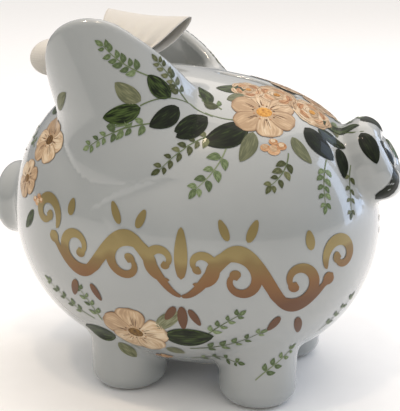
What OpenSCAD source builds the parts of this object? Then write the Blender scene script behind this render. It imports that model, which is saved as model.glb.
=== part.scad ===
// Ceramic piggy bank with a ribbon bow and a rubber bung, in millimetres.
// The pig faces -Y, +Z is up, its left side is +X and its feet stand on Z = 0.

/* [Body] */
// Length of the hollow body without the snout and the tail
body_length = 196; // [160:1:250]
// Height and width of the round body
body_diameter = 159; // [125:1:200]
// How full the body's ends are: 1 is a half ball on a straight middle
end_fullness = 0.94; // [0.88:0.01:0.98]
// Height of the belly above the table
belly_clearance = 7; // [4:1:20]
// Thickness of the slip-cast wall
wall = 5; // [3:0.5:8]
// Radius of the ball that swells the forehead
head_radius = 70; // [55:1:76]
// How far the forehead ball sits in front of the middle
head_forward = 28; // [10:1:45]
// How far the forehead ball sits above the body's axis
head_up = 10; // [0:1:16]

/* [Coin slot and belly hole] */
// Length of the coin slot along the back
slot_length = 42; // [30:1:60]
// Width of the coin slot
slot_width = 5; // [4:0.5:8]
// How far the middle of the slot sits behind the middle of the body
slot_back = 32; // [15:1:50]
// Diameter of the hole in the belly
hole_diameter = 34; // [24:1:44]
// How far the hole sits behind the middle of the body
hole_back = 7; // [-10:1:15]

/* [Snout] */
// Diameter of the snout disc
snout_diameter = 42; // [30:1:60]
// How far the snout stands out in front of the body
snout_reach = 18; // [10:1:30]
// Rounding of the snout's front edge
snout_round = 7; // [3:0.5:12]
// Height of the snout's centre above the body's axis
snout_up = 2.5; // [-10:0.5:20]
// Diameter of each nostril dimple
nostril_diameter = 6; // [4:0.5:9]
// Depth of each nostril dimple
nostril_depth = 3; // [1:0.5:6]
// Distance between the two nostrils
nostril_spacing = 15; // [10:0.5:24]

/* [Feet] */
// Diameter of each foot
foot_diameter = 41; // [28:1:52]
// Rounding of the foot's lower edge
foot_round = 7; // [2:0.5:12]
// Sideways distance of each foot's axis from the middle
foot_side = 32; // [26:1:42]
// Distance of the front feet in front of the middle
front_foot_forward = 29; // [24:1:45]
// Distance of the rear feet behind the middle
rear_foot_back = 43; // [30:1:55]

/* [Ears] */
// Outer radius of the curved ear shell
ear_radius = 37; // [28:1:44]
// Thickness of the ear
ear_wall = 7; // [4:0.5:10]
// Sideways place of the ear's axis where it leaves the head
ear_side = 30; // [26:1:44]
// How far the ear's axis sits in front of the middle
ear_forward = 25; // [15:1:40]
// Forward lean of the ear's axis in degrees
ear_lean = 21; // [10:1:35]
// Inward tilt of the ear's axis in degrees
ear_tilt = 8; // [-10:1:15]
// Direction the ear's back faces, in degrees from the side towards the rear
ear_turn = 28; // [20:1:60]
// Height of the rounded front tip above the axis point
ear_tip = 45; // [30:1:60]
// Radius of the rounded front tip
ear_tip_round = 20; // [8:1:24]
// Height of the ear's axis point above the body's axis
ear_up = 63.5; // [50:0.5:75]
// Height where the ear's rim meets the head at the back, from the axis point
ear_rim_end = -9; // [-25:1:5]
// Length of the ear's root below the axis point, down to its lowest seam on the cheek
ear_root = 34; // [28:1:40]

/* [Tail] */
// Middle-line radius of the curled tail
tail_curl = 15; // [9:0.5:18]
// Thickness of the tail
tail_thickness = 20; // [12:1:26]
// How far up the rump the tail sits, in degrees above the axis
tail_rise = 27; // [15:1:50]
// How far the tail's ring is sunk into the rump
tail_sink = 5; // [3:0.5:8]

/* [Bung] */
// Diameter of the bung's pull tab flange
bung_flange = 44; // [32:1:56]
// Depth of the bung's plug inside the wall
bung_depth = 10; // [8:1:18]
// Running clearance between the bung and the belly hole, all round
bung_clearance = 0.1; // [0.05:0.01:0.1]

/* [Bow] */
// Width of the ribbon
ribbon_width = 46; // [30:1:56]
// Thickness of the stiffened ribbon
ribbon_thickness = 1.2; // [0.8:0.1:2]
// Length of each loop from the knot to its fold
loop_length = 44; // [30:1:50]
// Height of the round outer end of each loop
loop_height = 15; // [10:1:22]
// How steeply the loops stand up, in degrees
loop_rise = 27; // [15:1:40]
// Diameter of the knot
knot_diameter = 12; // [9:1:16]
// How far the knot sits in front of the middle
bow_forward = 42; // [30:1:50]
// Height of the dab of glue under the knot
glue_height = 2; // [1:0.5:4]
// How much of the knot's underside is pressed flat on the glue
knot_flat = 1; // [0.5:0.5:2]

/* [Hidden] */
$fn = 96;

half_height = body_diameter / 2;
axis_height = belly_clearance + half_height;
end_radius = end_fullness * half_height;
end_offset = body_length / 2 - end_radius;
// The long arc that joins the two round ends smoothly
arc_rise = half_height - end_radius;
arc_centre = (end_offset * end_offset - arc_rise * arc_rise) / (2 * arc_rise);
arc_reach = sqrt(arc_centre * arc_centre + end_offset * end_offset);
far = 400;
overlap = 12;
// Straight edges run this far inside the round they meet, so the two cross cleanly
seam = 0.05;

white_glaze = "#9da2a0";
snout_front = body_length / 2 + snout_reach;
snout_height = axis_height + snout_up;
foot_radius = foot_diameter / 2;
ear_base_height = axis_height + ear_up;
ear_half_width = ear_radius - 1;
// How far the ear's rim line runs on past its half width, inside the head
ear_rim_reach = 4;
bung_radius = hole_diameter / 2 - bung_clearance;
flange_thickness = 2.5;
// Gap around the flange in its seat, and the solid boss around the seat, each side
seat_clearance = 1;
boss_margin = 10;
// The seat is cut deep enough into the curved belly to be a whole flat disc
seat_radius = bung_flange / 2 + seat_clearance;
seat_margin = 0.5;
seat_rise = half_height - sqrt(half_height * half_height - seat_radius * seat_radius);
seat_offset_rise = min(hole_back * hole_back / (2 * arc_centre),
                       (2 * seat_radius + abs(hole_back)) * abs(hole_back) / (2 * half_height));
flange_recess = seat_rise + seat_offset_rise + seat_margin;
// How far pieces that belong together run into each other
plug_overlap = 0.5;
// Sizes of the gathered ribbon as shares of the knot's diameter and the loop's length
gather_share = 0.9;
knot_length_share = 1.6;
glue_share = 0.5;
full_width_share = 0.62;
knot_gap = 0.4;
tail_lift = end_radius + tail_thickness / 2 - tail_sink;
// The disc that fills the tail's ring rises to this share of its thickness
tail_fill_share = 0.75;
tail_end = end_offset + tail_lift * cos(tail_rise) + tail_curl * sin(tail_rise) + tail_thickness / 2;
// Puts the middle of the overall length at Y = 0
centring = (snout_front - tail_end) / 2;
knot_height = head_top() + glue_height + knot_diameter / 2 - knot_flat;

// Half outline of the body at a given inset, drawn with its axis along Y
module oval_half(inset) {
    intersection() {
        translate([0, -far / 2]) square([far, far]);
        union() {
            for (side = [-1, 1]) translate([0, side * end_offset]) circle(r = end_radius - inset);
            intersection() {
                translate([-arc_centre, 0]) circle(r = half_height + arc_centre - inset, $fn = 180);
                polygon([[-arc_centre, 0],
                         [-arc_centre, 0] + far / arc_reach * [arc_centre, end_offset],
                         [-arc_centre, 0] + far / arc_reach * [arc_centre, -end_offset]]);
            }
        }
    }
}

module head_ball(inset) {
    translate([0, -head_forward, axis_height + head_up]) sphere(r = head_radius - inset);
}

module body_solid(inset) {
    translate([0, 0, axis_height]) rotate([90, 0, 0]) rotate_extrude() oval_half(inset);
    head_ball(inset);
}

// Height of the head's outside on the centreline where the bow sits
function head_top() = axis_height + head_up
    + sqrt(pow(head_radius, 2) - pow(bow_forward - head_forward, 2));

module slot_cutter() {
    straight = slot_length - slot_width;
    translate([0, slot_back, axis_height]) {
        translate([-slot_width / 2, -straight / 2, 0]) cube([slot_width, straight, far]);
        for (side = [-1, 1]) translate([0, side * straight / 2, 0])
            cylinder(d = slot_width, h = far, $fn = 32);
    }
}

module hole_cutter() {
    translate([0, hole_back, -1]) cylinder(d = hole_diameter, h = axis_height);
}

// Flat seat moulded around the belly hole, so the bung's flange lies flush
module flange_seat() {
    translate([0, hole_back, -1])
        cylinder(r = seat_radius, h = 1 + belly_clearance + flange_recess);
}

// The hollow inside, without the solid boss around the belly hole
module hollow() {
    difference() {
        body_solid(wall);
        translate([0, hole_back, 0])
            cylinder(d = bung_flange + 2 * boss_margin, h = belly_clearance + flange_recess + wall);
    }
}

module body_shell() {
    color(white_glaze) difference() {
        body_solid(0);
        flange_seat();
        hole_cutter();
        hollow();
        slot_cutter();
    }
}

// Outline of a round bar with one rounded end, for rotate_extrude
module rounded_bar(radius, round, height) {
    translate([0, round]) square([radius, height - round]);
    square([radius - round, round + 1]);
    translate([radius - round, round]) circle(r = round, $fn = 64);
}

module snout() {
    color(white_glaze) difference() {
        translate([0, -snout_front, snout_height]) rotate([-90, 0, 0]) rotate_extrude()
            rounded_bar(snout_diameter / 2, snout_round, snout_reach + overlap);
        body_solid(0);
        for (side = [-1, 1])
            translate([side * nostril_spacing / 2, -snout_front - 1, snout_height])
                rotate([-90, 0, 0]) cylinder(d = nostril_diameter, h = nostril_depth + 1, $fn = 48);
    }
}

module foot(side, along) {
    color(white_glaze) difference() {
        translate([side * foot_side, along, 0]) rotate_extrude()
            rounded_bar(foot_radius, foot_round, axis_height / 2);
        body_solid(0);
    }
}

module front_left_foot() { foot(1, -front_foot_forward); }
module front_right_foot() { foot(-1, -front_foot_forward); }
module rear_left_foot() { foot(1, rear_foot_back); }
module rear_right_foot() { foot(-1, rear_foot_back); }

// Outline of the ear seen from behind: x across the ear (front edge at -x), y up its axis
module ear_outline() {
    tip = [ear_tip_round - ear_half_width, ear_tip - ear_tip_round];
    rim = [ear_half_width + ear_rim_reach, ear_rim_end];
    run = rim - tip;
    inner = ear_tip_round - seam;
    // Tangent from the rim's low end to the round tip
    heading = atan2(run[1], run[0]) + acos(inner / norm(run));
    touch = tip + inner * [cos(heading), sin(heading)];
    translate(tip) circle(r = ear_tip_round, $fn = 64);
    polygon([[rim[0], -far / 4], rim, touch, tip, [tip[0] - inner, tip[1]],
             [tip[0] - inner, -far / 4]]);
}

module left_ear() {
    color(white_glaze) difference() {
        translate([ear_side, -ear_forward, ear_base_height])
            rotate([ear_lean, -ear_tilt, 0]) rotate([0, 0, ear_turn])
                intersection() {
                    difference() {
                        translate([0, 0, -ear_root]) cylinder(r = ear_radius, h = far / 4);
                        translate([0, 0, -far / 4]) cylinder(r = ear_radius - ear_wall, h = far / 2);
                    }
                    translate([-1, 0, 0]) rotate([90, 0, 90]) linear_extrude(height = far / 4)
                        ear_outline();
                }
        body_solid(0);
    }
}

module right_ear() { mirror([1, 0, 0]) left_ear(); }

module curly_tail() {
    color(white_glaze) difference() {
        translate([0, end_offset + tail_lift * cos(tail_rise),
                   axis_height + tail_lift * sin(tail_rise)])
            rotate([tail_rise - 90, 0, 0]) {
                rotate_extrude() translate([tail_curl, 0]) circle(d = tail_thickness);
                translate([0, 0, -tail_thickness / 2])
                    cylinder(r = tail_curl, h = tail_fill_share * tail_thickness);
            }
        body_solid(0);
    }
}

// Soft plug with a flange below; it grips the hole but keeps a thin drawn clearance
module belly_bung() {
    color("#d8d6cf") translate([0, hole_back, 0]) {
        translate([0, 0, belly_clearance + flange_recess - flange_thickness - bung_clearance])
            cylinder(d = bung_flange, h = flange_thickness);
        translate([0, 0, belly_clearance + flange_recess - bung_clearance - plug_overlap])
            cylinder(r = bung_radius, h = bung_depth + plug_overlap);
    }
}

// Side view of one loop: a round fold at the far end drawn down to a point at the knot
module loop_outline(inset) {
    r = loop_height / 2 - inset;
    fold = loop_length - loop_height / 2;
    start = inset * fold / (loop_height / 2);
    lean = acos((r - seam) / (fold - start));
    touch = (r - seam) * [cos(180 - lean), sin(180 - lean)];
    translate([fold, 0]) circle(r = r, $fn = 64);
    polygon([[start, 0], [fold + touch[0], -touch[1]], [fold, 0], [fold + touch[0], touch[1]]]);
}

// Top view of one loop: full ribbon width at the fold, gathered at the knot
module loop_gather() {
    gathered = knot_diameter * gather_share;
    full_from = loop_length * full_width_share;
    polygon([[0, -gathered / 2], [full_from, -ribbon_width / 2], [loop_length + 1, -ribbon_width / 2],
             [loop_length + 1, ribbon_width / 2], [full_from, ribbon_width / 2], [0, gathered / 2]]);
}

module loop() {
    start = knot_diameter / 2 + knot_gap;
    intersection() {
        rotate([90, 0, 0]) translate([0, 0, -far / 4]) linear_extrude(height = far / 2) difference() {
            loop_outline(0);
            loop_outline(ribbon_thickness);
        }
        translate([0, 0, -far / 4]) linear_extrude(height = far / 2) loop_gather();
        translate([start, -far / 4, -far / 4]) cube(far / 2);
    }
}

module bow_left_loop() {
    color("#e6e2d6") translate([0, -bow_forward, knot_height]) rotate([0, -loop_rise, 0]) loop();
}

module bow_right_loop() { mirror([1, 0, 0]) bow_left_loop(); }

module bow_knot() {
    length = knot_diameter * knot_length_share;
    color("#e6e2d6") intersection() {
        translate([0, -bow_forward - length / 2, knot_height])
            rotate([-90, 0, 0]) cylinder(d = knot_diameter, h = length);
        translate([-far / 2, -far / 2, head_top() + glue_height]) cube([far, far, far]);
    }
}

module bow_glue_pad() {
    color("#ece9df") difference() {
        translate([0, -bow_forward, head_top() - glue_height])
            cylinder(d = knot_diameter * glue_share, h = glue_height * 2);
        head_ball(0, $fn = 360);
    }
}

module centred() { translate([0, centring, 0]) children(); }

centred() body_shell();
centred() snout();
centred() left_ear();
centred() right_ear();
centred() front_left_foot();
centred() front_right_foot();
centred() rear_left_foot();
centred() rear_right_foot();
centred() curly_tail();
centred() belly_bung();
centred() bow_left_loop();
centred() bow_right_loop();
centred() bow_knot();
centred() bow_glue_pad();
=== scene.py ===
import itertools
import math

import bpy
import numpy as np
from mathutils import Matrix, Vector


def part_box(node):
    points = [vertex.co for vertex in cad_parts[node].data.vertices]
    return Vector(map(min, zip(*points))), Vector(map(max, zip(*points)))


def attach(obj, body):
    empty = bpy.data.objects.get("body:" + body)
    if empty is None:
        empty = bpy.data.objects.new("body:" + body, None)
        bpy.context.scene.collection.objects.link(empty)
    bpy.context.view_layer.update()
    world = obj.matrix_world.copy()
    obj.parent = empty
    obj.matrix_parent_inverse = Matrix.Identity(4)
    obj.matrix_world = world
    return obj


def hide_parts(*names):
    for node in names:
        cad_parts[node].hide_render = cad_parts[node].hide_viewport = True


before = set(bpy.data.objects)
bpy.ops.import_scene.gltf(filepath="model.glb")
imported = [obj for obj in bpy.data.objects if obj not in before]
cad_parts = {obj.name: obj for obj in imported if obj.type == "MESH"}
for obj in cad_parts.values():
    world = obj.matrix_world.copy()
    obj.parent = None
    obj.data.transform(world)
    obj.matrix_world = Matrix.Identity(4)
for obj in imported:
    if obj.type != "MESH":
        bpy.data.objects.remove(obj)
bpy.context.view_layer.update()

rng = np.random.default_rng(7)

# ---------------------------------------------------------------- sizes, in millimetres
# The pig's own frame faces -Y and stands on Z = 0; the CAD boxes give its main sizes.


def span(node):
    low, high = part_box(node)
    return np.array(low) * 1000, np.array(high) * 1000


shell_low, shell_high = span("body_shell")
snout_low, snout_high = span("snout")
BODY_LENGTH = shell_high[1] - shell_low[1]
BODY_DIAMETER = shell_high[0] - shell_low[0]
CENTRING = (shell_high[1] + shell_low[1]) / 2
END_FULLNESS = 0.94
BELLY_CLEARANCE = 7
AXIS_HEIGHT = BELLY_CLEARANCE + BODY_DIAMETER / 2
WALL = 5.0
HEAD, HEAD_RADIUS = np.array([0.0, -28.0, AXIS_HEIGHT + 10.0]), 70.0
SNOUT_FRONT = snout_low[1] - CENTRING
SNOUT_HEIGHT = (snout_low[2] + snout_high[2]) / 2
SNOUT_RADIUS = (snout_high[0] - snout_low[0]) / 2
FOOT_RADIUS, FOOT_ROUND, FEET = 20.5, 8, ((32.0, -29.0), (32.0, 43.0))
SNOUT_ROUND, SNOUT_ROOT = 7, -60
SLOT_MIDDLE, SLOT_LENGTH, SLOT_WIDTH = 32.0, 42.0, 5.0
bung_low, bung_high = span("belly_bung")
FLANGE_THICKNESS, BUNG_CLEARANCE = 2.5, 0.1
HOLE_MIDDLE, HOLE_RADIUS, SEAT_RADIUS = 7.0, 17.0, 23.0
SEAT_HEIGHT, BOSS_RADIUS = bung_low[2] + FLANGE_THICKNESS + BUNG_CLEARANCE, 32.0
LEFT_EAR_POINT, LEFT_EAR_ANGLES = np.array([30.0, -25.5, 150.0]), (21, -8, 28)
RIGHT_EAR_POINT, RIGHT_EAR_ANGLES = np.array([28.0, -30.0, 150.0]), (22, -3, 10)
FLAP_CENTRE, FLAP_RADIUS, FLAP_HEIGHT = np.array([51.0, -19.0, 145.0]), 34.0, 6.4
FLAP_CORNER, FLAP_FRONT = np.array([64.2, -38.6, 123.0]), np.array([0.1, -0.76, -0.64])
EAR_RADIUS, EAR_WALL = 33.5, 7.0
EAR_TIP, EAR_TIP_ROUND, EAR_RIM_HEADING = (-22.0, 12.0), 33.0, math.radians(41)
EAR_ROOT = -36
TAIL_RISE, TAIL_LIFT, TAIL_CURL, TAIL_COIL = math.radians(27), 5, 15.0, math.radians(520)
TAIL_START, TAIL_CLIMB, TAIL_THICK, TAIL_THINNING = math.radians(100), 3.5, 10, 2.5
NOSTRIL_SIDE, NOSTRIL_UP, NOSTRIL_SIZE = 7.5, 1.0, np.array([3.2, 4.0, 4.2])
# The slip that fills each join: how far the blend spreads between a piece and the body
HEAD_BLEND, SNOUT_BLEND, FOOT_BLEND, TAIL_BLEND, FLAP_BLEND, EAR_BLEND = 14, 9, 5, 8, 2.5, 9
MIDDLE = np.array([0.0, 0.0, AXIS_HEIGHT])


def placed(p):
    """Points in the pig's own millimetres as points of the frame in metres."""
    return (np.asarray(p, float) + np.array([0, CENTRING, 0])) / 1000


# ---------------------------------------------------------------- the casting as a distance field


def smooth_min(a, b, k):
    h = np.clip(0.5 + 0.5 * (b - a) / k, 0, 1)
    return b + (a - b) * h - k * h * (1 - h)


def smooth_max(a, b, k):
    return -smooth_min(-a, -b, k)


def oval(p, inset=0.0):
    """Distance to the oval body of revolution about the Y direction."""
    half = BODY_DIAMETER / 2
    end = END_FULLNESS * half
    offset = BODY_LENGTH / 2 - end
    rise = half - end
    centre = (offset ** 2 - rise ** 2) / (2 * rise)
    along = np.abs(p[:, 1])
    across = np.hypot(p[:, 0], p[:, 2] - AXIS_HEIGHT)
    in_end = along * centre > (across + centre) * offset
    ends = np.hypot(along - offset, across) - end
    middle = np.hypot(along, across + centre) - half - centre
    return np.where(in_end, ends, middle) + inset


def head(p, inset=0.0):
    return np.linalg.norm(p - HEAD, axis=1) - HEAD_RADIUS + inset


def rounded_rod(across, along, radius, low, high, edge):
    """Distance to a round bar from the distances across and along its axis."""
    a = across - radius + edge
    b = np.abs(along - (low + high) / 2) - (high - low) / 2 + edge
    corner = np.hypot(np.maximum(a, 0), np.maximum(b, 0))
    return corner + np.minimum(np.maximum(a, b), 0) - edge


def turned(axis, angle):
    return np.array(Matrix.Rotation(angle, 3, axis))


def ear_axes(lean, tilt, turn):
    """Columns are the ear's own directions: turned about its axis, leant forward, tilted."""
    return (turned("Y", math.radians(tilt)) @ turned("X", math.radians(lean))
            @ turned("Z", math.radians(turn)))


LEFT_EAR_AXES, RIGHT_EAR_AXES = ear_axes(*LEFT_EAR_ANGLES), ear_axes(*RIGHT_EAR_ANGLES)


def rounded_shell(outline, thickness, edge):
    """Joins the distance to an outline and the distance through a wall, with round edges."""
    a, b = outline + edge, thickness + edge
    return np.hypot(np.maximum(a, 0), np.maximum(b, 0)) + np.minimum(np.maximum(a, b), 0) - edge


def ear(p, point, axes):
    """Distance to an ear on the left, a curved shell with a broad round tip."""
    q = (p - point) @ axes
    ring = np.hypot(q[:, 0], q[:, 1])
    arc = EAR_RADIUS * np.arctan2(q[:, 1], q[:, 0])
    u, v = arc - EAR_TIP[0], q[:, 2] - EAR_TIP[1]
    c, s = math.cos(EAR_RIM_HEADING), math.sin(EAR_RIM_HEADING)
    in_tip = (v * c - u * s > 0) & (v > 0)
    outline = np.where(in_tip, np.hypot(u, v), np.maximum(-u, u * c + v * s)) - EAR_TIP_ROUND
    wall = np.abs(ring - EAR_RADIUS) - EAR_WALL / 2
    return np.maximum(rounded_shell(outline, wall, EAR_WALL / 2 - 0.1), EAR_ROOT - q[:, 2])


def flap(p, skin):
    """Distance to the low skirt that an ear's back spreads over the cheek, from the skin's."""
    reach = FLAP_RADIUS - np.linalg.norm(p - FLAP_CENTRE, axis=1)
    height = FLAP_HEIGHT * np.sqrt(np.clip(reach / 18, 0, 1)) - 1.2
    return smooth_max((p - FLAP_CORNER) @ FLAP_FRONT, skin - height, 3)


def tail(p):
    """Distance to the tail, a bar coiled flat against the rump and thinning inwards."""
    half = BODY_DIAMETER / 2
    end = END_FULLNESS * half
    out = np.array([0, math.cos(TAIL_RISE), math.sin(TAIL_RISE)])
    up = np.array([0, -math.sin(TAIL_RISE), math.cos(TAIL_RISE)])
    q = p - np.array([0, BODY_LENGTH / 2 - end, AXIS_HEIGHT]) - (end + TAIL_LIFT) * out
    q = np.stack([q[:, 0], q @ up, q @ out], axis=1)
    far = 60.0
    d = np.full(len(p), far)
    near = np.all(np.abs(q) < (40, 40, 30), axis=1)
    q = q[near]
    best = np.full(len(q), far)
    last = None
    for t in np.linspace(0, 1, 31):
        turn = TAIL_START - TAIL_COIL * t
        r = TAIL_CURL * (1 - t) ** 0.8
        here = np.array([r * math.cos(turn), r * math.sin(turn), TAIL_CLIMB * t])
        thick = TAIL_THICK - TAIL_THINNING * t
        if last is not None:
            start, start_thick = last
            run = here - start
            h = np.clip((q - start) @ run / (run @ run), 0, 1)
            gap = np.linalg.norm(q - start - h[:, None] * run, axis=1)
            best = np.minimum(best, gap - start_thick - (thick - start_thick) * h)
        last = (here, thick)
    d[near] = best
    return d


def outside(p):
    """Distance to the glazed outside, without the slot, the belly hole and the hollow."""
    folded = p.copy()
    folded[:, 0] = np.abs(folded[:, 0])
    skin = smooth_min(oval(p), head(p), HEAD_BLEND)
    across = np.hypot(p[:, 0], p[:, 2] - SNOUT_HEIGHT)
    snout = rounded_rod(across, p[:, 1], SNOUT_RADIUS, SNOUT_FRONT, SNOUT_ROOT, SNOUT_ROUND)
    d = smooth_min(skin, snout, SNOUT_BLEND)
    for x, y in FEET:
        across = np.hypot(folded[:, 0] - x, p[:, 1] - y)
        foot = rounded_rod(across, p[:, 2], FOOT_RADIUS, 0, 60, FOOT_ROUND)
        d = smooth_min(d, foot, FOOT_BLEND)
    d = smooth_min(d, tail(p), TAIL_BLEND)
    d = smooth_min(d, flap(folded, skin), FLAP_BLEND)
    both_ears = np.where(p[:, 0] > 0, ear(folded, LEFT_EAR_POINT, LEFT_EAR_AXES),
                         ear(folded, RIGHT_EAR_POINT, RIGHT_EAR_AXES))
    return smooth_min(d, both_ears, EAR_BLEND)


def casting(p):
    """Distance to the whole hollow casting with its slot, hole, seat and nostrils."""
    d = outside(p)
    for side in (-1, 1):
        c = np.array([side * NOSTRIL_SIDE, SNOUT_FRONT - 1.0, SNOUT_HEIGHT + NOSTRIL_UP])
        near, far = (np.linalg.norm((p - c) / NOSTRIL_SIZE ** k, axis=1) for k in (1, 2))
        d = smooth_max(d, -near * (near - 1) / np.maximum(far, 1e-6), 2.0)
    hollow = np.minimum(oval(p, WALL), head(p, WALL))
    around = np.hypot(p[:, 0], p[:, 1] - HOLE_MIDDLE)
    boss = rounded_rod(around, p[:, 2], BOSS_RADIUS, -20, SEAT_HEIGHT + WALL, 1.0)
    hollow = np.maximum(hollow, -boss)
    d = smooth_max(d, -hollow, 1.0)
    straight = (SLOT_LENGTH - SLOT_WIDTH) / 2
    along = np.maximum(np.abs(p[:, 1] - SLOT_MIDDLE) - straight, 0)
    slot = np.maximum(np.hypot(p[:, 0], along) - SLOT_WIDTH / 2, AXIS_HEIGHT - p[:, 2])
    d = smooth_max(d, -slot, 2.6)
    d = smooth_max(d, -np.maximum(around - HOLE_RADIUS, p[:, 2] - AXIS_HEIGHT), 1.0)
    return smooth_max(d, -np.maximum(around - SEAT_RADIUS, p[:, 2] - SEAT_HEIGHT), 1.0)


def slope(field, p, step=0.3):
    n = np.stack([field(p + e) - field(p - e) for e in np.eye(3) * step], axis=1)
    return n / np.maximum(np.linalg.norm(n, axis=1, keepdims=True), 1e-9)


def settle(field, p, rounds=4):
    """Moves points onto the zero of a distance field."""
    for _ in range(rounds):
        p = p - 0.95 * field(p)[:, None] * slope(field, p)
    return p


def surface_mesh(field, low, high, step):
    """Quads around the zero of a distance field, one point per crossed cell."""
    low = np.array(low, float)
    n = np.ceil((np.array(high) - low) / step).astype(int) + 1
    axes = [low[i] + step * np.arange(n[i]) for i in range(3)]
    value = np.empty(n)
    for i, x in enumerate(axes[0]):
        sheet = np.stack(np.meshgrid([x], axes[1], axes[2], indexing="ij"), -1).reshape(-1, 3)
        value[i] = field(sheet).reshape(n[1], n[2])
    inside = value < 0
    corners = [(a, b, c) for a in (0, 1) for b in (0, 1) for c in (0, 1)]
    count = sum(inside[a:n[0] - 1 + a, b:n[1] - 1 + b, c:n[2] - 1 + c].astype(int)
                for a, b, c in corners)
    cells = np.argwhere((count > 0) & (count < 8))
    index = -np.ones(count.shape, int)
    index[tuple(cells.T)] = np.arange(len(cells))
    total, crossed = np.zeros((len(cells), 3)), np.zeros(len(cells))
    for i, a in enumerate(corners):
        for b in corners[i + 1:]:
            if sum(abs(x - y) for x, y in zip(a, b)) != 1:
                continue
            va, vb = (value[tuple((cells + corner).T)] for corner in (a, b))
            cut = (va < 0) != (vb < 0)
            t = np.where(cut, va / (va - vb + 1e-30), 0)[:, None]
            total += np.where(cut[:, None], np.array(a) + t * (np.array(b) - a), 0)
            crossed += cut
    points = low + step * (cells + total / crossed[:, None])
    quads = []
    for k in range(3):
        i, j = (k + 1) % 3, (k + 2) % 3
        a = inside.take(range(n[k] - 1), axis=k)
        b = inside.take(range(1, n[k]), axis=k)
        at = np.argwhere(a != b)
        at = at[(at[:, i] > 0) & (at[:, j] > 0) & (at[:, i] < n[i] - 1) & (at[:, j] < n[j] - 1)]
        ring = []
        for di, dj in ((0, 0), (1, 0), (1, 1), (0, 1)):
            cell = at.copy()
            cell[:, i] -= di
            cell[:, j] -= dj
            ring.append(index[tuple(cell.T)])
        ring = np.stack(ring, axis=1)
        quads.append(np.where(a[tuple(at.T)][:, None], ring, ring[:, ::-1]))
    return points, np.concatenate(quads)


# ---------------------------------------------------------------- materials


def colour(code):
    """An sRGB hex colour as the linear colour that the shader wants."""
    parts = [int(code[i:i + 2], 16) / 255 for i in (1, 3, 5)]
    return [c / 12.92 if c <= 0.04045 else ((c + 0.055) / 1.055) ** 2.4 for c in parts] + [1.0]


def add(material, kind, links=(), **settings):
    """Adds a node; settings name its options, or its sockets by name or number (s0, s1...)."""
    node = material.node_tree.nodes.new("ShaderNode" + kind)
    for key, value in settings.items():
        if key[0] == "s" and key[1:].isdigit():
            node.inputs[int(key[1:])].default_value = value
        elif hasattr(node, key):
            setattr(node, key, value)
        else:
            node.inputs[key.title()].default_value = value
    for socket, source in links:
        material.node_tree.links.new(source, node.inputs[socket])
    return node


def new_material(name, roughness, metallic=0.0, coat=0.0, coat_roughness=0.05):
    """A principled material and its shader node."""
    material = bpy.data.materials.new(name)
    material.use_nodes = True
    shader = material.node_tree.nodes["Principled BSDF"]
    shader.inputs["Roughness"].default_value = roughness
    shader.inputs["IOR"].default_value = 1.5
    shader.inputs["Metallic"].default_value = metallic
    shader.inputs["Coat Weight"].default_value = coat
    shader.inputs["Coat Roughness"].default_value = coat_roughness
    return material, shader


def connect(material, source, socket):
    """Links an output to a socket of a node that is already there."""
    material.node_tree.links.new(source, socket)


def ramp(material, factor, *stops):
    """A colour ramp; each stop is (place, hex colour)."""
    node = add(material, "ValToRGB", [("Fac", factor)])
    elements = node.color_ramp.elements
    while len(elements) < len(stops):
        elements.new(0.5)
    for element, (place, code) in zip(elements, stops):
        element.position = place
        element.color = colour(code)
    return node.outputs["Color"]


def bump(material, shader, height, distance, strength):
    """Fine relief from a height, at a distance in metres."""
    node = add(material, "Bump", [("Height", height)], distance=distance, strength=strength)
    connect(material, node.outputs["Normal"], shader.inputs["Normal"])


# White earthenware under a clear glaze, slip cast: its white given a cool grey that is painted
# shade of soft light, a mirror-like coat and the faint long waves that a poured glaze keeps; the
# soles are bare clay
def make_glaze():
    material, shader = new_material("clear_glazed_earthenware", 0.22, coat=1.0, coat_roughness=0.03)
    place = add(material, "TexCoord").outputs["Object"]
    cloud = add(material, "TexNoise", [("Vector", place)], scale=22.0, detail=3.0)
    # The grey level of these stops is painted shade: white glaze darkened to its look in dim light;
    # the cloudy spread between them is the glaze's own
    tint = ramp(material, cloud.outputs["Fac"], (0.3, "#959998"), (0.7, "#9ca09f"))
    height = add(material, "SeparateXYZ", [("Vector", place)]).outputs["Z"]
    sole = add(material, "Math", [(0, height)], operation="LESS_THAN", s1=0.0007)
    bare = add(material, "MixRGB", [("Fac", sole.outputs[0]), ("Color1", tint)],
               s2=colour("#cfc8bb"))
    connect(material, bare.outputs[0], shader.inputs["Base Color"])
    wave = add(material, "TexNoise", [("Vector", place)], scale=55.0, detail=1.0)
    bump(material, shader, wave.outputs["Fac"], 0.0006, 0.25)
    return material


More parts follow.
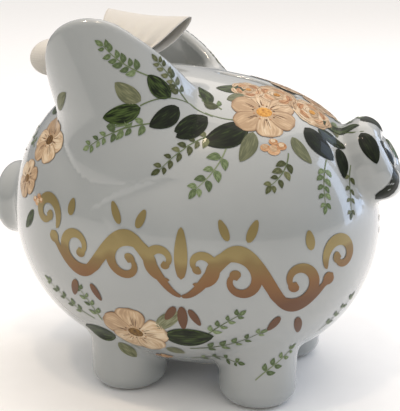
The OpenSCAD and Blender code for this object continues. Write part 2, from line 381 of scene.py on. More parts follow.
def make_paint(name, dark, middle, light, streaks, edge=None):
    """Brushed underglaze colour: bristle streaks along each stroke, each with its own tone."""
    material, shader = new_material(name, 0.3, coat=0.22, coat_roughness=0.04)
    # A low specular level keeps the dark greens dark beside the bright glaze
    shader.inputs["Specular IOR Level"].default_value = 0.08
    uv = add(material, "UVMap", uv_map="Brush").outputs["UV"]
    tone = add(material, "Attribute", attribute_name="tone").outputs["Fac"]
    spread = add(material, "Mapping", [("Vector", uv)], s3=(streaks[0], streaks[1], 1.0))
    noise = add(material, "TexNoise", [("Vector", spread.outputs[0])], scale=1.0, detail=2.0,
                noise_dimensions="3D")
    lifted = add(material, "Math", [(0, tone)], operation="MULTIPLY_ADD", s1=0.35, s2=-0.17)
    total = add(material, "Math", [(0, noise.outputs["Fac"]), (1, lifted.outputs[0])],
                operation="ADD")
    tint = ramp(material, total.outputs[0], (0.32, dark), (0.52, middle), (0.72, light))
    if edge:
        split = add(material, "SeparateXYZ", [("Vector", uv)])
        rim = add(material, "MapRange", [("Value", split.outputs["X"])], s1=0.78, s2=1.0)
        beside = add(material, "Math", [(0, split.outputs["Y"])], operation="SUBTRACT", s1=0.5)
        away = add(material, "Math", [(0, beside.outputs[0])], operation="ABSOLUTE")
        sides = add(material, "MapRange", [("Value", away.outputs[0])], s1=0.34, s2=0.5)
        border = add(material, "Math", [(0, rim.outputs[0]), (1, sides.outputs[0])],
                     operation="MAXIMUM")
        broken = add(material, "Math", [(0, border.outputs[0]), (1, noise.outputs["Fac"])],
                     operation="MULTIPLY")
        strong = add(material, "MapRange", [("Value", broken.outputs[0])], s1=0.22, s2=0.55)
        mixed = add(material, "MixRGB", [("Fac", strong.outputs[0]), ("Color1", tint)],
                    s2=colour(edge))
        tint = mixed.outputs[0]
    connect(material, tint, shader.inputs["Base Color"])
    bump(material, shader, noise.outputs["Fac"], 0.00008, 0.5)
    return material


# Fired gold lustre: a thin metal film, lighter olive-gold at the top and darker copper-brown at the
# bottom, painted light and reflection from above
def make_gold():
    material, shader = new_material("fired_gold_lustre", 0.34, metallic=0.55, coat=0.4)
    uv = add(material, "UVMap", uv_map="Brush").outputs["UV"]
    place = add(material, "TexCoord").outputs["Object"]
    height = add(material, "SeparateXYZ", [("Vector", place)]).outputs["Z"]
    cloud = add(material, "TexNoise", [("Vector", place)], scale=38.0, detail=2.0)
    # Colour by height, lighter towards the top: painted light and painted reflection from above
    level = add(material, "MapRange", [("Value", height)], s1=0.050, s2=0.110)
    mixed = add(material, "Math", [(0, cloud.outputs["Fac"]), (1, level.outputs[0]),
                                   (2, level.outputs[0])], operation="MULTIPLY_ADD")
    tint = ramp(material, mixed.outputs[0], (0.35, "#5c3b22"), (0.62, "#74512c"),
                (0.9, "#776238"), (1.0, "#8a7a4c"))
    connect(material, tint, shader.inputs["Base Color"])
    spread = add(material, "Mapping", [("Vector", uv)], s3=(6.0, 14.0, 1.0))
    streak = add(material, "TexNoise", [("Vector", spread.outputs[0])], scale=1.0, detail=2.0)
    bump(material, shader, streak.outputs["Fac"], 0.0001, 0.6)
    return material


# Cotton-polyester ribbon, plain woven and stiffened: matt cream, thin enough to glow
def make_ribbon():
    material, shader = new_material("stiffened_woven_ribbon", 0.75)
    shader.inputs["Sheen Weight"].default_value = 0.3
    shader.inputs["Subsurface Weight"].default_value = 0.15
    shader.inputs["Subsurface Radius"].default_value = (0.002, 0.002, 0.0015)
    uv = add(material, "UVMap", uv_map="Brush").outputs["UV"]
    heights = []
    # Threads every 0.9 mm, coarser than the real 0.3 mm so that they show
    for turn in (0.0, math.pi / 2):
        spread = add(material, "Mapping", [("Vector", uv)])
        spread.inputs["Rotation"].default_value = (0, 0, turn)
        heights.append(add(material, "TexWave", [("Vector", spread.outputs[0])], scale=3.5,
                           distortion=0.6, wave_type="BANDS").outputs["Fac"])
    weave = add(material, "Math", [(0, heights[0]), (1, heights[1])], operation="MULTIPLY")
    tint = ramp(material, weave.outputs[0], (0.0, "#c2beb5"), (1.0, "#dad7cf"))
    connect(material, tint, shader.inputs["Base Color"])
    bump(material, shader, weave.outputs[0], 0.0002, 0.5)
    return material


# Soft moulded rubber: matt, off-white, with a fine skin texture
def make_rubber():
    material, shader = new_material("moulded_soft_rubber", 0.6)
    place = add(material, "TexCoord").outputs["Object"]
    grain = add(material, "TexNoise", [("Vector", place)], scale=900.0, detail=2.0)
    tint = ramp(material, grain.outputs["Fac"], (0.3, "#c9c6bd"), (0.7, "#d3d0c8"))
    connect(material, tint, shader.inputs["Base Color"])
    bump(material, shader, grain.outputs["Fac"], 0.0001, 0.4)
    return material


# Hot-melt glue: a milky, half-clear dab that set soft and glossy
def make_glue():
    material, shader = new_material("set_hot_melt_glue", 0.28)
    shader.inputs["Subsurface Weight"].default_value = 0.4
    shader.inputs["Subsurface Radius"].default_value = (0.002, 0.002, 0.002)
    place = add(material, "TexCoord").outputs["Object"]
    cloud = add(material, "TexNoise", [("Vector", place)], scale=400.0, detail=2.0)
    tint = ramp(material, cloud.outputs["Fac"], (0.3, "#ddd8c8"), (0.7, "#ece8dc"))
    connect(material, tint, shader.inputs["Base Color"])
    bump(material, shader, cloud.outputs["Fac"], 0.0002, 0.4)
    return material


GLAZE = make_glaze()
PAINTS = {
    "dark_leaf": make_paint("brushed_dark_leaf_green", "#0e130a", "#1b2411", "#44552b", (3, 9)),
    "sage_leaf": make_paint("brushed_sage", "#5c6049", "#727559", "#8f9075", (3, 8)),
    "green_leaf": make_paint("brushed_sprig_green", "#48553a", "#5f6f4c", "#7f8e6a", (3, 6)),
    "olive_leaf": make_paint("brushed_olive", "#3c4229", "#53583c", "#737654", (3, 6)),
    "stem": make_paint("brushed_stem_green", "#4e5a3c", "#667352", "#84906e", (2, 3)),
    "petal": make_paint("brushed_peach_petal", "#a98e70", "#c2a888", "#d6c4a8", (2, 10),
                        edge="#74563c"),
    "bud": make_paint("brushed_orange_bud", "#a2704a", "#b98f68", "#ccaa88", (3, 6)),
    "heart": make_paint("stippled_golden_heart", "#70481c", "#b0782e", "#cf9a48", (5, 5)),
    "brown_heart": make_paint("stippled_brown_heart", "#463014", "#6a4c23", "#8a6832", (5, 5)),
    "line": make_paint("fine_brown_line", "#4d3826", "#684c34", "#826044", (3, 3)),
    "gold": make_gold(),
}

# ---------------------------------------------------------------- mesh helpers


def mesh_object(name, points, faces, material, body, normals=None, uv=None, tone=None):
    """A smooth mesh piece from points in the pig's millimetres, riding on a body."""
    mesh = bpy.data.meshes.new(name)
    mesh.from_pydata(placed(points).tolist(), [], np.asarray(faces).tolist())
    mesh.polygons.foreach_set("use_smooth", [True] * len(mesh.polygons))
    if uv is not None:
        layer = mesh.uv_layers.new(name="Brush")
        corner = np.empty(len(mesh.loops), int)
        mesh.loops.foreach_get("vertex_index", corner)
        layer.data.foreach_set("uv", np.asarray(uv)[corner].ravel())
    if tone is not None:
        mesh.attributes.new("tone", "FLOAT", "POINT").data.foreach_set("value", tone)
    mesh.materials.append(material)
    mesh.update()
    if normals is not None:
        mesh.normals_split_custom_set_from_vertices(normals.tolist())
    obj = bpy.data.objects.new(name, mesh)
    bpy.context.collection.objects.link(obj)
    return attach(obj, body)


def grid_faces(rows, columns, start=0, closed=False):
    """Quads of a grid of points, counted row by row; closed joins the last row to the first."""
    faces = []
    for i in range(rows if closed else rows - 1):
        for j in range(columns - 1):
            a, b = start + i * columns + j, start + (i + 1) % rows * columns + j
            faces.append((a, a + 1, b + 1, b))
    return faces


# ---------------------------------------------------------------- the glazed casting

STEP = 1.6
points, quads = surface_mesh(casting, (-84, -121, -3), (84, 114, 204), STEP)
points = settle(casting, points, 2)
points[:, 2] = np.maximum(points[:, 2], 0)
pig = mesh_object("glazed_pig", points, quads, GLAZE, "bank", normals=slope(casting, points))
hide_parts("body_shell", "snout", "left_ear", "right_ear", "front_left_foot",
            "front_right_foot", "rear_left_foot", "rear_right_foot", "curly_tail")

# ---------------------------------------------------------------- places on the outside


def body_spot(turn, rise):
    """A point on the outside: turn from the face through the left side, rise above the axis."""
    a, e = math.radians(turn), math.radians(rise)
    way = np.array([math.sin(a) * math.cos(e), -math.cos(a) * math.cos(e), math.sin(e)])
    reach = 135.0
    for _ in range(40):
        reach -= 0.8 * outside((MIDDLE + reach * way)[None])[0]
    return MIDDLE + reach * way


def ear_spot(arc, height):
    """A point on the back of the left ear, arc across it and height up it."""
    r = EAR_RADIUS + EAR_WALL / 2
    local = np.array([r * math.cos(arc / r), r * math.sin(arc / r), height])
    return settle(outside, (LEFT_EAR_POINT + LEFT_EAR_AXES @ local)[None])[0]


# ---------------------------------------------------------------- brush strokes

strokes, laid = {name: [] for name in PAINTS}, itertools.count(1)
# Later strokes lie a hair above earlier ones, so that they never share a surface
LEVEL_STEP = 0.0004


def lay(paint, points, columns, uv, level, both=True):
    """Keeps a stroke: a grid of points near the outside, to be settled on it at the end."""
    points, uv, tone = np.asarray(points, float), np.asarray(uv, float), rng.random()
    lifted = level + LEVEL_STEP * (next(laid) % 100)
    strokes[paint].append((points, columns, uv, lifted, tone))
    if both:
        mirrored = (points * (-1, 1, 1)).reshape(-1, columns, 3)[:, ::-1].reshape(-1, 3)
        strokes[paint].append((mirrored, columns, uv, level, 1 - tone))


def axes_between(root, tip):
    """Directions along a stroke, across it and out of the surface."""
    along = tip - root
    length = np.linalg.norm(along)
    out = slope(outside, ((root + tip) / 2)[None])[0]
    along = along / length
    across = np.cross(out, along)
    across /= np.linalg.norm(across)
    return along, across, length


def ribbon_of(paint, root, tip, half, bend=0.0, level=0.12, rows=12, columns=5, both=True):
    """One stroke from root to tip; half(t) is its half width, bend its sideways bow."""
    along, across, length = axes_between(root, tip)
    out, uv = [], []
    for i in range(rows):
        t = i / (rows - 1)
        middle = root + along * length * t + across * bend * 4 * t * (1 - t)
        for j in range(columns):
            s = 2 * j / (columns - 1) - 1
            out.append(middle + across * s * max(half(t), 0.02))
            uv.append((t, j / (columns - 1)))
    lay(paint, out, columns, uv, level, both)


def leaf(paint, root, tip, width, bend=0.0, both=True):
    """A full leaf with a short point, widest a little above its middle."""
    ribbon_of(paint, root, tip, lambda t: width / 2 * math.sin(math.pi * t ** 0.85) ** 0.68,
              bend, 0.14, 15, 7, both)


def stem(root, tip, bend=0.0, width=0.7, both=True):
    """A thin stroke that narrows to half its width."""
    ribbon_of("stem", root, tip, lambda t: width / 2 * (1 - 0.5 * t), bend, 0.08, 14, 3, both)


def sprig(paint, root, tip, pairs, size, bend=0.0, both=True):
    """A stem with small leaves in pairs and one at its end."""
    stem(root, tip, bend, both=both)
    along, across, length = axes_between(root, tip)
    for i in range(pairs):
        t = 0.25 + 0.7 * i / max(pairs - 1, 1)
        middle = root + along * length * t + across * bend * 4 * t * (1 - t)
        lean = along + across * bend * 4 * (1 - 2 * t) / length
        for side in (-1, 1):
            reach = size * (1.1 - 0.35 * t) * rng.uniform(0.85, 1.15)
            way = lean * rng.uniform(0.55, 0.8) + across * side * rng.uniform(0.7, 0.95)
            way /= np.linalg.norm(way)
            start = middle + way * 0.5 + along * rng.uniform(-0.8, 0.8)
            ribbon_of(paint, start, start + way * reach,
                      lambda u: 0.29 * reach * math.sin(math.pi * u ** 0.75) ** 0.8,
                      side * 0.08 * reach, 0.13, 8, 5, both)
    end = root + along * length
    ribbon_of(paint, end, end + along * size,
              lambda u: 0.26 * size * math.sin(math.pi * u ** 0.8) ** 0.8, 0, 0.13, 8, 5, both)


def level_axes(centre):
    """Directions on the surface at a point: level with the ground, and up the surface."""
    out = slope(outside, centre[None])[0]
    right = np.cross((0, 0, 1), out)
    right /= np.linalg.norm(right)
    return right, np.cross(out, right)


def flower(centre, radius, petals, turn, heart="heart"):
    """An open flower: broad round petals, a dabbed heart and a ring of stamen dots."""
    right, up = level_axes(centre)
    for i in range(petals):
        a = math.radians(turn) + 2 * math.pi * i / petals + rng.uniform(-0.08, 0.08)
        way = right * math.cos(a) + up * math.sin(a)
        reach = radius * rng.uniform(0.92, 1.08)
        wide = math.pi * radius / petals * 1.12
        tip = centre + way * reach
        wave = rng.uniform(0, 6)
        ribbon_of("petal", centre + way * radius * 0.12, tip,
                  lambda t: (wide * min(1, 0.25 + 1.15 * t ** 0.8)
                             * math.sqrt(max(0, 1 - max(0, (t - 0.62) / 0.38) ** 2))
                             * (1 + 0.05 * math.sin(9 * t + wave))) * 0.72,
                  rng.uniform(-0.06, 0.06) * radius, 0.16 + 0.012 * i, 14, 9)
        for _ in range(3):
            b = a + rng.uniform(-0.28, 0.28)
            way = right * math.cos(b) + up * math.sin(b)
            ribbon_of("line", centre + way * radius * 0.28,
                      centre + way * radius * rng.uniform(0.5, 0.7),
                      lambda t: 0.16 * math.sin(math.pi * t) ** 0.5, 0, 0.26, 6, 3)
    disc(heart, centre, right, up, radius * 0.24, 0.28)
    for i in range(14):
        a = 2 * math.pi * i / 14 + rng.uniform(-0.1, 0.1)
        r = radius * rng.uniform(0.27, 0.34)
        spot = centre + right * math.cos(a) * r + up * math.sin(a) * r
        disc("bud" if i % 2 else "line", spot, right, up, radius * 0.032, 0.3)


def disc(paint, centre, right, up, radius, level, squash=0.85):
    """A round dab."""
    out, uv = [], []
    for i in range(13):
        a = 2 * math.pi * i / 12
        for r in (0.02, 0.5, 1.0):
            out.append(centre + radius * r * (right * math.cos(a) + up * math.sin(a) * squash))
            uv.append((0.5 + 0.5 * r * math.cos(a), 0.5 + 0.5 * r * math.sin(a)))
    lay(paint, out, 3, uv, level)


def bud_cluster(centre, size):
    """Four small buds, each with a paler dab on top."""
    right, up = level_axes(centre)
    for x, y, r in ((0, 0, 1), (1.3, 0.6, 0.8), (-1.2, 0.5, 0.75), (0.2, 1.4, 0.7)):
        spot = centre + size * (right * x + up * y)
        disc("bud", spot, right, up, size * r, 0.2)
        disc("petal", spot + size * 0.2 * up, right, up, size * r * 0.55, 0.25)


def rose(centre, radius):
    """A round bloom painted as rings of curved dabs."""
    right, up = level_axes(centre)
    disc("petal", centre, right, up, radius, 0.15, squash=0.95)
    for ring, (reach, number) in enumerate(((0.86, 6), (0.58, 5), (0.3, 3))):
        for i in range(number):
            a = 2 * math.pi * (i + 0.5 * ring) / number + rng.uniform(-0.15, 0.15)
            wide = 2.6 / number
            ends = [centre + radius * reach * (right * math.cos(b) + up * math.sin(b))
                    for b in (a - wide, a + wide)]
            sag = radius * reach * (1 - math.cos(wide))
            ribbon_of("bud" if ring == 1 else "petal", ends[0], ends[1],
                      lambda t: radius * 0.15 * math.sin(math.pi * t) ** 0.6, -sag,
                      0.18 + 0.03 * ring, 9, 5)
            ribbon_of("line", ends[0], ends[1],
                      lambda t: 0.14 * math.sin(math.pi * t) ** 0.5,
                      -sag * 1.25, 0.28, 9, 3)
    disc("heart", centre, right, up, radius * 0.17, 0.31)


B, E = body_spot, ear_spot

# The spray across the top of the back
flower(B(144, 50), 17, 6, 20)
rose(B(164, 56), 11.5)
rose(B(170, 44), 12)
rose(B(150, 63), 9)
leaf("dark_leaf", B(132, 46), B(110, 41), 14, 1.5)
leaf("dark_leaf", B(157, 40), B(160, 27), 12.5, -1)
leaf("dark_leaf", B(150, 64), B(125, 68), 8, 1)
leaf("sage_leaf", B(143, 58), B(128, 60), 8, -1)
leaf("sage_leaf", B(133, 43), B(124, 33), 8, 1)
leaf("sage_leaf", B(148, 38), B(150, 28), 7, -1)
leaf("sage_leaf", B(176, 38), B(170, 33), 5, 0)
bud_cluster(B(138, 35), 3.3)
leaf("dark_leaf", B(113, 52), B(97, 44), 11, 1)
leaf("dark_leaf", B(116, 58), B(108, 66), 7, -1)
leaf("olive_leaf", B(120, 56), B(112, 60), 5, 1)
stem(B(134, 48), B(112, 54), 2)
sprig("green_leaf", B(122, 55), B(112, 62), 3, 4)
sprig("olive_leaf", B(121, 45), B(93, 31), 6, 5.2, -3)
sprig("green_leaf", B(120, 39), B(107, 25), 4, 6.2, 2)
sprig("olive_leaf", B(143, 33), B(133, 24), 4, 5.2, 2)
sprig("green_leaf", B(157, 28), B(150, 15), 5, 4.6, -2)
sprig("olive_leaf", B(166, 24), B(160, 11), 4, 4, -1)

# Over the tail and the rump
for root, tip, width in (((163, 38), (168, 29), 7.5), ((170, 40), (174, 33), 7),
                         ((166, 30), (161, 21), 8), ((171, 31), (168, 22), 8),
                         ((173, 27), (177, 18), 8),
                         ((177, 34), (184, 28), 8), ((180, 26), (186, 19), 7.5),
                         ((175, 20), (172, 12), 7), ((188, 36), (196, 28), 7.5),
                         ((191, 29), (199, 21), 7.5), ((187, 22), (193, 13), 7)):
    leaf("dark_leaf", B(*root), B(*tip), width, 0.5, both=False)
for root, tip in (((168, 41), (176, 22)), ((176, 22), (180, 8)), ((186, 38), (190, 20))):
    stem(B(*root), B(*tip), 1.5, 0.9, both=False)
sprig("green_leaf", B(172, 40), B(183, 33), 4, 3.6, both=False)
sprig("green_leaf", B(190, 24), B(198, 8), 5, 4.6, 1, both=False)
sprig("olive_leaf", B(180, 14), B(183, 0), 4, 4.0, 1, both=False)

# On the backs of the ears
sprig("green_leaf", E(8, 8), E(-9, 28), 6, 5.0, 2)
sprig("olive_leaf", E(23, -9), E(14, 14), 6, 4.6, -1)
leaf("dark_leaf", E(15, -4), E(7, 9), 9.5, 0.8)
leaf("dark_leaf", E(-1, -5), E(-20, -4), 9.5, 1)
leaf("dark_leaf", E(17, -10), E(0, -15), 10, 1)
leaf("dark_leaf", B(113, 51), E(10, -24), 9, 1)
leaf("sage_leaf", E(0, -2), E(-9, 10), 8.5, 1)
stem(E(-1, -4), E(24, -10), 3)
stem(E(24, -10), B(116, 52), 0)
sprig("green_leaf", E(6, -15), E(-31, -15), 7, 5.0, -2)

# On the cheeks and the forehead
flower(B(39, 31), 13.5, 6, 5, "brown_heart")
flower(B(35, 17), 10.5, 6, 30, "brown_heart")
bud_cluster(B(45, 12), 2.2)
leaf("dark_leaf", B(43, 9), B(38, 2), 5, 0.5)
leaf("sage_leaf", B(44, 40), B(52, 44), 6, 0.5)
leaf("dark_leaf", B(28, 38), B(18, 42), 7, 0.6)
sprig("green_leaf", B(30, 26), B(20, 30), 3, 3.6, 0.6)

# Low on the side, over the front foot
flower(B(80, -33), 17.5, 5, 12, "brown_heart")
leaf("dark_leaf", B(66, -38), B(48, -36), 13, 1)
leaf("dark_leaf", B(93, -33), B(114, -30), 15, -1)
leaf("sage_leaf", B(91, -29), B(102, -19), 8, 1)
leaf("sage_leaf", B(64, -43), B(70, -51), 7, 0.5)
leaf("sage_leaf", B(92, -42), B(101, -45), 7, 0.5)
bud_cluster(B(87, -52), 2.4)
sprig("green_leaf", B(61, -29), B(46, -15), 5, 4.6, 1)
sprig("green_leaf", B(65, -29), B(61, -15), 4, 4.4, -1)
sprig("green_leaf", B(110, -31), B(122, -19), 4, 4.8, 1)
sprig("green_leaf", B(104, -40), B(131, -27), 5, 5, -2)
sprig("green_leaf", B(104, -50), B(126, -43), 4, 4.2, 1)
sprig("green_leaf", B(132, -44), B(147, -36), 4, 4.2, 1)
sprig("green_leaf", B(158, -30), B(166, -18), 4, 4.2, 1)

# Calm closed eyes above the snout, each a soft arc with three lashes
arc_ends = B(12, 24), B(22, 23)
ribbon_of("line", *arc_ends, lambda t: 0.55 * math.sin(math.pi * t) ** 0.4, -2.4, 0.2, 12, 3)
for root, tip in (((13.5, 21.8), (12.2, 19.4)), ((17, 21), (17, 18.4)),
                  ((20.5, 21.4), (22, 19))):
    ribbon_of("line", B(*root), B(*tip), lambda t: 0.4 * (1 - 0.8 * t), 0.3, 0.2, 6, 3)

# ---------------------------------------------------------------- the gold flourish

# The middle of the flourish on the side in degrees, and how it falls towards the rear
GOLD_TURN, GOLD_RISE, GOLD_SLANT = 102, -3, 0.1


def gold_stroke(px, py, width, ball=True, twin=True):
    """A loaded brush stroke on the left side: thin start, full belly and a ball on its curl."""
    rows, columns = len(px), 7
    dx, dy = np.gradient(px), np.gradient(py)
    pace = np.hypot(dx, dy)
    length = np.concatenate([[0], np.cumsum((pace[1:] + pace[:-1]) / 2)])
    s = length / length[-1]
    half = width / 2 * (0.2 + 0.8 * np.sin(math.pi * s ** 0.85) ** 0.7)
    if ball:
        r = 0.46 * width
        left = length[-1] - length
        half = np.maximum(half, np.sqrt(np.clip(r ** 2 - (left - r) ** 2, 0, None)))
    half[0] = half[-1] = 0.15
    side = np.linspace(-1, 1, columns)
    gx = px[:, None] - (dy / pace * half)[:, None] * side
    gy = py[:, None] + (dx / pace * half)[:, None] * side
    uv = np.stack(np.broadcast_arrays(length[:, None] / 10, np.linspace(0, 1, columns)), -1)
    for mirror in (1, -1) if twin else (1,):
        per_degree = math.radians(BODY_DIAMETER / 2)
        rise = np.radians(GOLD_RISE + (gy - GOLD_SLANT * mirror * gx) / per_degree)
        turn = np.radians(GOLD_TURN + mirror * gx / per_degree)
        way = np.stack([np.sin(turn) * np.cos(rise), -np.cos(turn) * np.cos(rise),
                        np.sin(rise)], -1)
        spots = (MIDDLE + 80 * way)[:, ::mirror]
        lay("gold", spots.reshape(-1, 3), columns, uv.reshape(-1, 2), 0.22, both=False)


def gold_spiral(x, y, start, turns, outer, inner, width):
    """A curl around (x, y): start is where it begins in degrees, turns is clockwise if below 0."""
    t = np.linspace(0, 1, 72)
    a = math.radians(start) + 2 * math.pi * turns * t
    r = inner + (outer - inner) * (1 - t) ** 1.5
    gold_stroke(x + r * np.cos(a), y + r * np.sin(a), width)


def gold_drop(x, y, heading, length, width):
    t = np.linspace(0, 1, 20)
    a = math.radians(heading)
    gold_stroke(x + length * t * math.cos(a), y + length * t * math.sin(a), width, ball=False,
                twin=abs(heading) != 90)


# A running vine, the same to both sides of its middle: one wave with a curl in each bend
BEND, BENDS, WAVE_HEIGHT = 27.0, 2.62, 13
wave_x = np.linspace(0.01, BENDS * BEND, 110)
wave_y = -WAVE_HEIGHT * np.cos(math.pi * wave_x / BEND) * (1 - 0.15 * wave_x / (2.6 * BEND))
gold_stroke(wave_x, wave_y, 6.2)
gold_spiral(BEND, -1, 196, -1.35, 15, 2.6, 5.4)
gold_spiral(2 * BEND, 1, 164, 1.35, 14, 2.6, 5.2)
gold_spiral(BENDS * BEND + 4, 11, 215, -1.2, 9, 2.2, 4.6)
gold_spiral(9, 4, 250, 1.1, 10, 2.2, 4.4)
gold_drop(0, -4, 90, 25, 6.4)
gold_drop(0, -19, -90, 15, 5.4)
for x, y, heading, length in ((3.5, -20, -58, 11), (BEND - 5, 17, 112, 10), (BEND + 4, 17, 62, 11),
                              (2 * BEND - 5, -17, -112, 10), (2 * BEND + 4, -17, -62, 11),
                              (2.2 * BEND, 14, 95, 8)):
    gold_drop(x, y, heading, length, 4.2)

# ---------------------------------------------------------------- strokes become meshes

NAMES = {"dark_leaf": "painted_dark_leaves", "sage_leaf": "painted_sage_leaves",
         "green_leaf": "painted_green_sprigs", "olive_leaf": "painted_olive_sprigs",
         "stem": "painted_stems", "petal": "painted_petals", "bud": "painted_buds",
         "heart": "painted_flower_hearts",
         "brown_heart": "painted_brown_hearts", "line": "painted_fine_lines",
         "gold": "gold_flourish"}
PAINT_LIFT = 0.08
for paint, kept in strokes.items():
    spots, uvs = (np.concatenate([k[i] for k in kept]) for i in (0, 2))
    levels, tones = (np.concatenate([np.full(len(k[0]), k[i]) for k in kept]) for i in (3, 4))
    faces, start = [], 0
    for k in kept:
        faces += grid_faces(len(k[0]) // k[1], k[1], start)
        start += len(k[0])
    spots = settle(outside, spots, 5)
    normals = slope(outside, spots)
    faces = np.array(faces)
    corners = spots[faces]
    facing = np.einsum("ij,ij->i", np.cross(corners[:, 1] - corners[:, 0],
                                            corners[:, 2] - corners[:, 0]),
                       normals[faces[:, 0]])
    faces = np.where((facing < 0)[:, None], faces[:, ::-1], faces)
    obj = mesh_object(NAMES[paint], spots + normals * (levels[:, None] + PAINT_LIFT), faces,
                      PAINTS[paint], "bank", normals=normals, uv=uvs, tone=tones)

# ---------------------------------------------------------------- the bow

RIBBON = make_ribbon()
RIBBON_WIDTH = 48.0
knot_low, knot_high = span("bow_knot")
KNOT = (knot_low + knot_high) / 2 * (0, 1, 1) - (0, CENTRING, 0)


def ribbon_loop(name, node, side, reach, height, rise, sweep, rear_share, phase):
    """One loop: gathered at the knot, full width at its fold; rear_share closes its rear mouth."""
    rows, columns, gathered = 76, 33, 4.8
    spots, uv = [], []
    travelled, last = 0.0, None
    for i in range(rows):
        t = 2 * math.pi * i / (rows - 1)
        open_share = math.sin(t / 2) ** 0.7
        x = reach * (1 - math.cos(t)) / 2
        z = -height / 2 * math.sin(t) * math.sin(t / 2) ** 0.4
        travelled += 0 if last is None else math.hypot(x - last[0], z - last[1])
        last = (x, z)
        half = gathered + (RIBBON_WIDTH / 2 - gathered) * open_share
        pleat = 2.0 * (1 - open_share) ** 1.1
        for j in range(columns):
            s = 2 * j / (columns - 1) - 1
            mouth = 1 + (rear_share - 1) * (s + 1) / 2
            fold = pleat * math.cos(4.5 * math.pi * s + phase) * (1 if t < math.pi else -1)
            tall = z * mouth + 0.8 * fold + 1.2 * open_share * math.sin(2.2 * s + t + phase)
            cx = 3.5 + x * math.cos(rise) - tall * math.sin(rise)
            twist = 0.045 * sweep * s * open_share * x / 6
            cz = x * math.sin(rise) + tall * math.cos(rise) - twist
            spots.append((side * cx, KNOT[1] + half * s + sweep * x / reach, KNOT[2] + cz))
            uv.append((s * RIBBON_WIDTH / 20, travelled / 10))
    loop = mesh_object(name, spots, grid_faces(rows, columns), RIBBON, "bank", uv=uv)
    loop.modifiers.new("thickness", "SOLIDIFY").thickness = 0.0004
    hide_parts(node)


ribbon_loop("ribbon_left_loop", "bow_left_loop", 1, 37, 22, math.radians(6), -11, 0.8, 0.4)
ribbon_loop("ribbon_right_loop", "bow_right_loop", -1, 34, 17, math.radians(34), 4, 0.3, 1.3)


def ribbon_knot():
    """The band that pinches the bow: wrapped around its middle, with soft creases."""
    rows, columns = 49, 17
    spots, uv = [], []
    for i in range(rows):
        t = 2 * math.pi * i / (rows - 1)
        for j in range(columns):
            s = 2 * j / (columns - 1) - 1
            crease = 0.35 * math.cos(3.5 * math.pi * s) + 0.4 * math.cos(3 * t) * s
            pinch = 1 - 0.13 * (1 - s * s)
            y = (8.6 * pinch + crease) * math.cos(t)
            z = (5.3 * pinch + crease) * math.sin(t)
            spots.append((6.2 * s, KNOT[1] + y, KNOT[2] + z))
            uv.append((s * 0.6, 4.4 * i / (rows - 1)))
    knot = mesh_object("ribbon_knot", spots, grid_faces(rows, columns), RIBBON, "bank", uv=uv)
    knot.modifiers.new("thickness", "SOLIDIFY").thickness = 0.0005
    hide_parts("bow_knot")


ribbon_knot()
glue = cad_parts["bow_glue_pad"]
glue.data.materials.clear()
glue.data.materials.append(make_glue())

# ---------------------------------------------------------------- the rubber bung

def lathe(name, profile, centre, material, body, segments=96):
    """A turned piece from its half outline, a list of (radius, height)."""
    spots = []
    for i in range(segments):
        a = 2 * math.pi * i / segments
        for r, z in profile:
            spots.append((centre[0] + r * math.cos(a), centre[1] + r * math.sin(a), z))
    faces = grid_faces(segments, len(profile), closed=True)
    return mesh_object(name, spots, faces, material, body)


def bung_profile():
    """From the dimple in the flange's middle, around its rounded rim and up the plug."""
    flange = (bung_high[0] - bung_low[0]) / 2
    plug, low, top = HOLE_RADIUS - BUNG_CLEARANCE, bung_low[2], bung_high[2]
    steps = [i * math.pi / 12 for i in range(7)]
    line = [(0.001, low + 1.2), (6.0, low + 1.2), (7.0, low + 0.9), (8.2, low)]
    line += [(flange - 0.9 + 0.9 * math.sin(a), low + 0.9 - 0.9 * math.cos(a)) for a in steps]
    line += [(flange, low + 1.9), (flange - 0.5, low + 2.45), (plug, low + FLANGE_THICKNESS),
             (plug, top - 1.6)]
    line += [(plug - 1.6 + 1.6 * math.cos(a), top - 1.6 + 1.6 * math.sin(a)) for a in steps]
    return line + [(0.001, top)]


bung = lathe("rubber_bung", bung_profile(), (0, HOLE_MIDDLE), make_rubber(), "bung")
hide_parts("belly_bung")

# ---------------------------------------------------------------- floor, light and camera

AZIMUTH, ELEVATION, DISTANCE = math.radians(107.8), math.radians(16.3), 0.5186
TARGET = Vector(placed((0, 0, 84.2)))


def stage_floor():
    """A wide, flat, pale floor."""
    mesh = bpy.data.meshes.new("floor")
    r = 6.0
    mesh.from_pydata([(-r, -r, 0), (r, -r, 0), (r, r, 0), (-r, r, 0)], [], [(0, 1, 2, 3)])
    material, shader = new_material("matt_white_floor", 0.8)
    place = add(material, "TexCoord").outputs["Object"]
    grain = add(material, "TexNoise", [("Vector", place)], scale=60.0)
    tint = ramp(material, grain.outputs["Fac"], (0.3, "#f4f4f3"), (0.7, "#f6f6f5"))
    connect(material, tint, shader.inputs["Base Color"])
    mesh.materials.append(material)
    floor = bpy.data.objects.new("floor", mesh)
    bpy.context.collection.objects.link(floor)


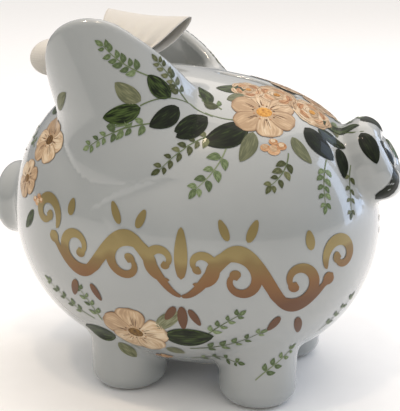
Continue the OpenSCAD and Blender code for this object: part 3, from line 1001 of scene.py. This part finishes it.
def area_light(name, at, size, power, tint, towards=(0, 0, 0.09)):
    data = bpy.data.lights.new(name, "AREA")
    data.shape = "RECTANGLE"
    data.size, data.size_y = size
    data.energy = power
    data.color = colour(tint)[:3]
    light = bpy.data.objects.new(name, data)
    light.location = at
    light.rotation_euler = (Vector(towards) - Vector(at)).to_track_quat("-Z", "Y").to_euler()
    bpy.context.collection.objects.link(light)


stage_floor()
world = bpy.context.scene.world or bpy.data.worlds.new("studio")
bpy.context.scene.world = world
world.use_nodes = True
# A room that is dim near the ground and bright overhead
sky = world.node_tree.nodes
up_share = sky.new("ShaderNodeSeparateXYZ")
world.node_tree.links.new(sky.new("ShaderNodeTexCoord").outputs["Generated"], up_share.inputs[0])
shades = sky.new("ShaderNodeValToRGB")
world.node_tree.links.new(up_share.outputs["Z"], shades.inputs["Fac"])
shades.color_ramp.elements[0].position, shades.color_ramp.elements[1].position = 0.05, 0.95
shades.color_ramp.elements[0].color = [0.3 * c for c in colour("#eef2f8")]
shades.color_ramp.elements[1].color = [1.3 * c for c in colour("#fffaf6")]
world.node_tree.links.new(shades.outputs["Color"], sky["Background"].inputs["Color"])
sky["Background"].inputs["Strength"].default_value = 1.0
area_light("ceiling", (-0.9, 0.2, 2.2), (2.0, 2.0), 14, "#fff4ea")
# Three panes of a tall bluish window behind the tail's side
for shift in (-0.45, 0.0, 0.45):
    area_light("window_pane", (-0.95 - 0.87 * shift, 1.35 - 0.5 * shift, 0.6), (0.3, 1.3), 3.6,
               "#c6dcff")
area_light("lamp", (0.22, -0.3, 0.9), (0.06, 0.06), 1.0, "#ffe9d0")
area_light("second_lamp", (0.28, -0.02, 0.95), (0.06, 0.06), 1.0, "#ffe9d0")

back = Vector((math.sin(AZIMUTH) * math.cos(ELEVATION), -math.cos(AZIMUTH) * math.cos(ELEVATION),
               math.sin(ELEVATION)))
right = (-back).cross(Vector((0, 0, 1))).normalized()
up = right.cross(-back)
view = -back + right * 0.00195 + up * 0.0151
camera_data = bpy.data.cameras.new("camera")
camera_data.lens = 82.56
camera = bpy.data.objects.new("camera", camera_data)
camera.location = TARGET + back * DISTANCE
camera.rotation_euler = view.to_track_quat("-Z", "Y").to_euler()
bpy.context.collection.objects.link(camera)
bpy.context.scene.camera = camera
bpy.context.scene.view_settings.view_transform = "Standard"
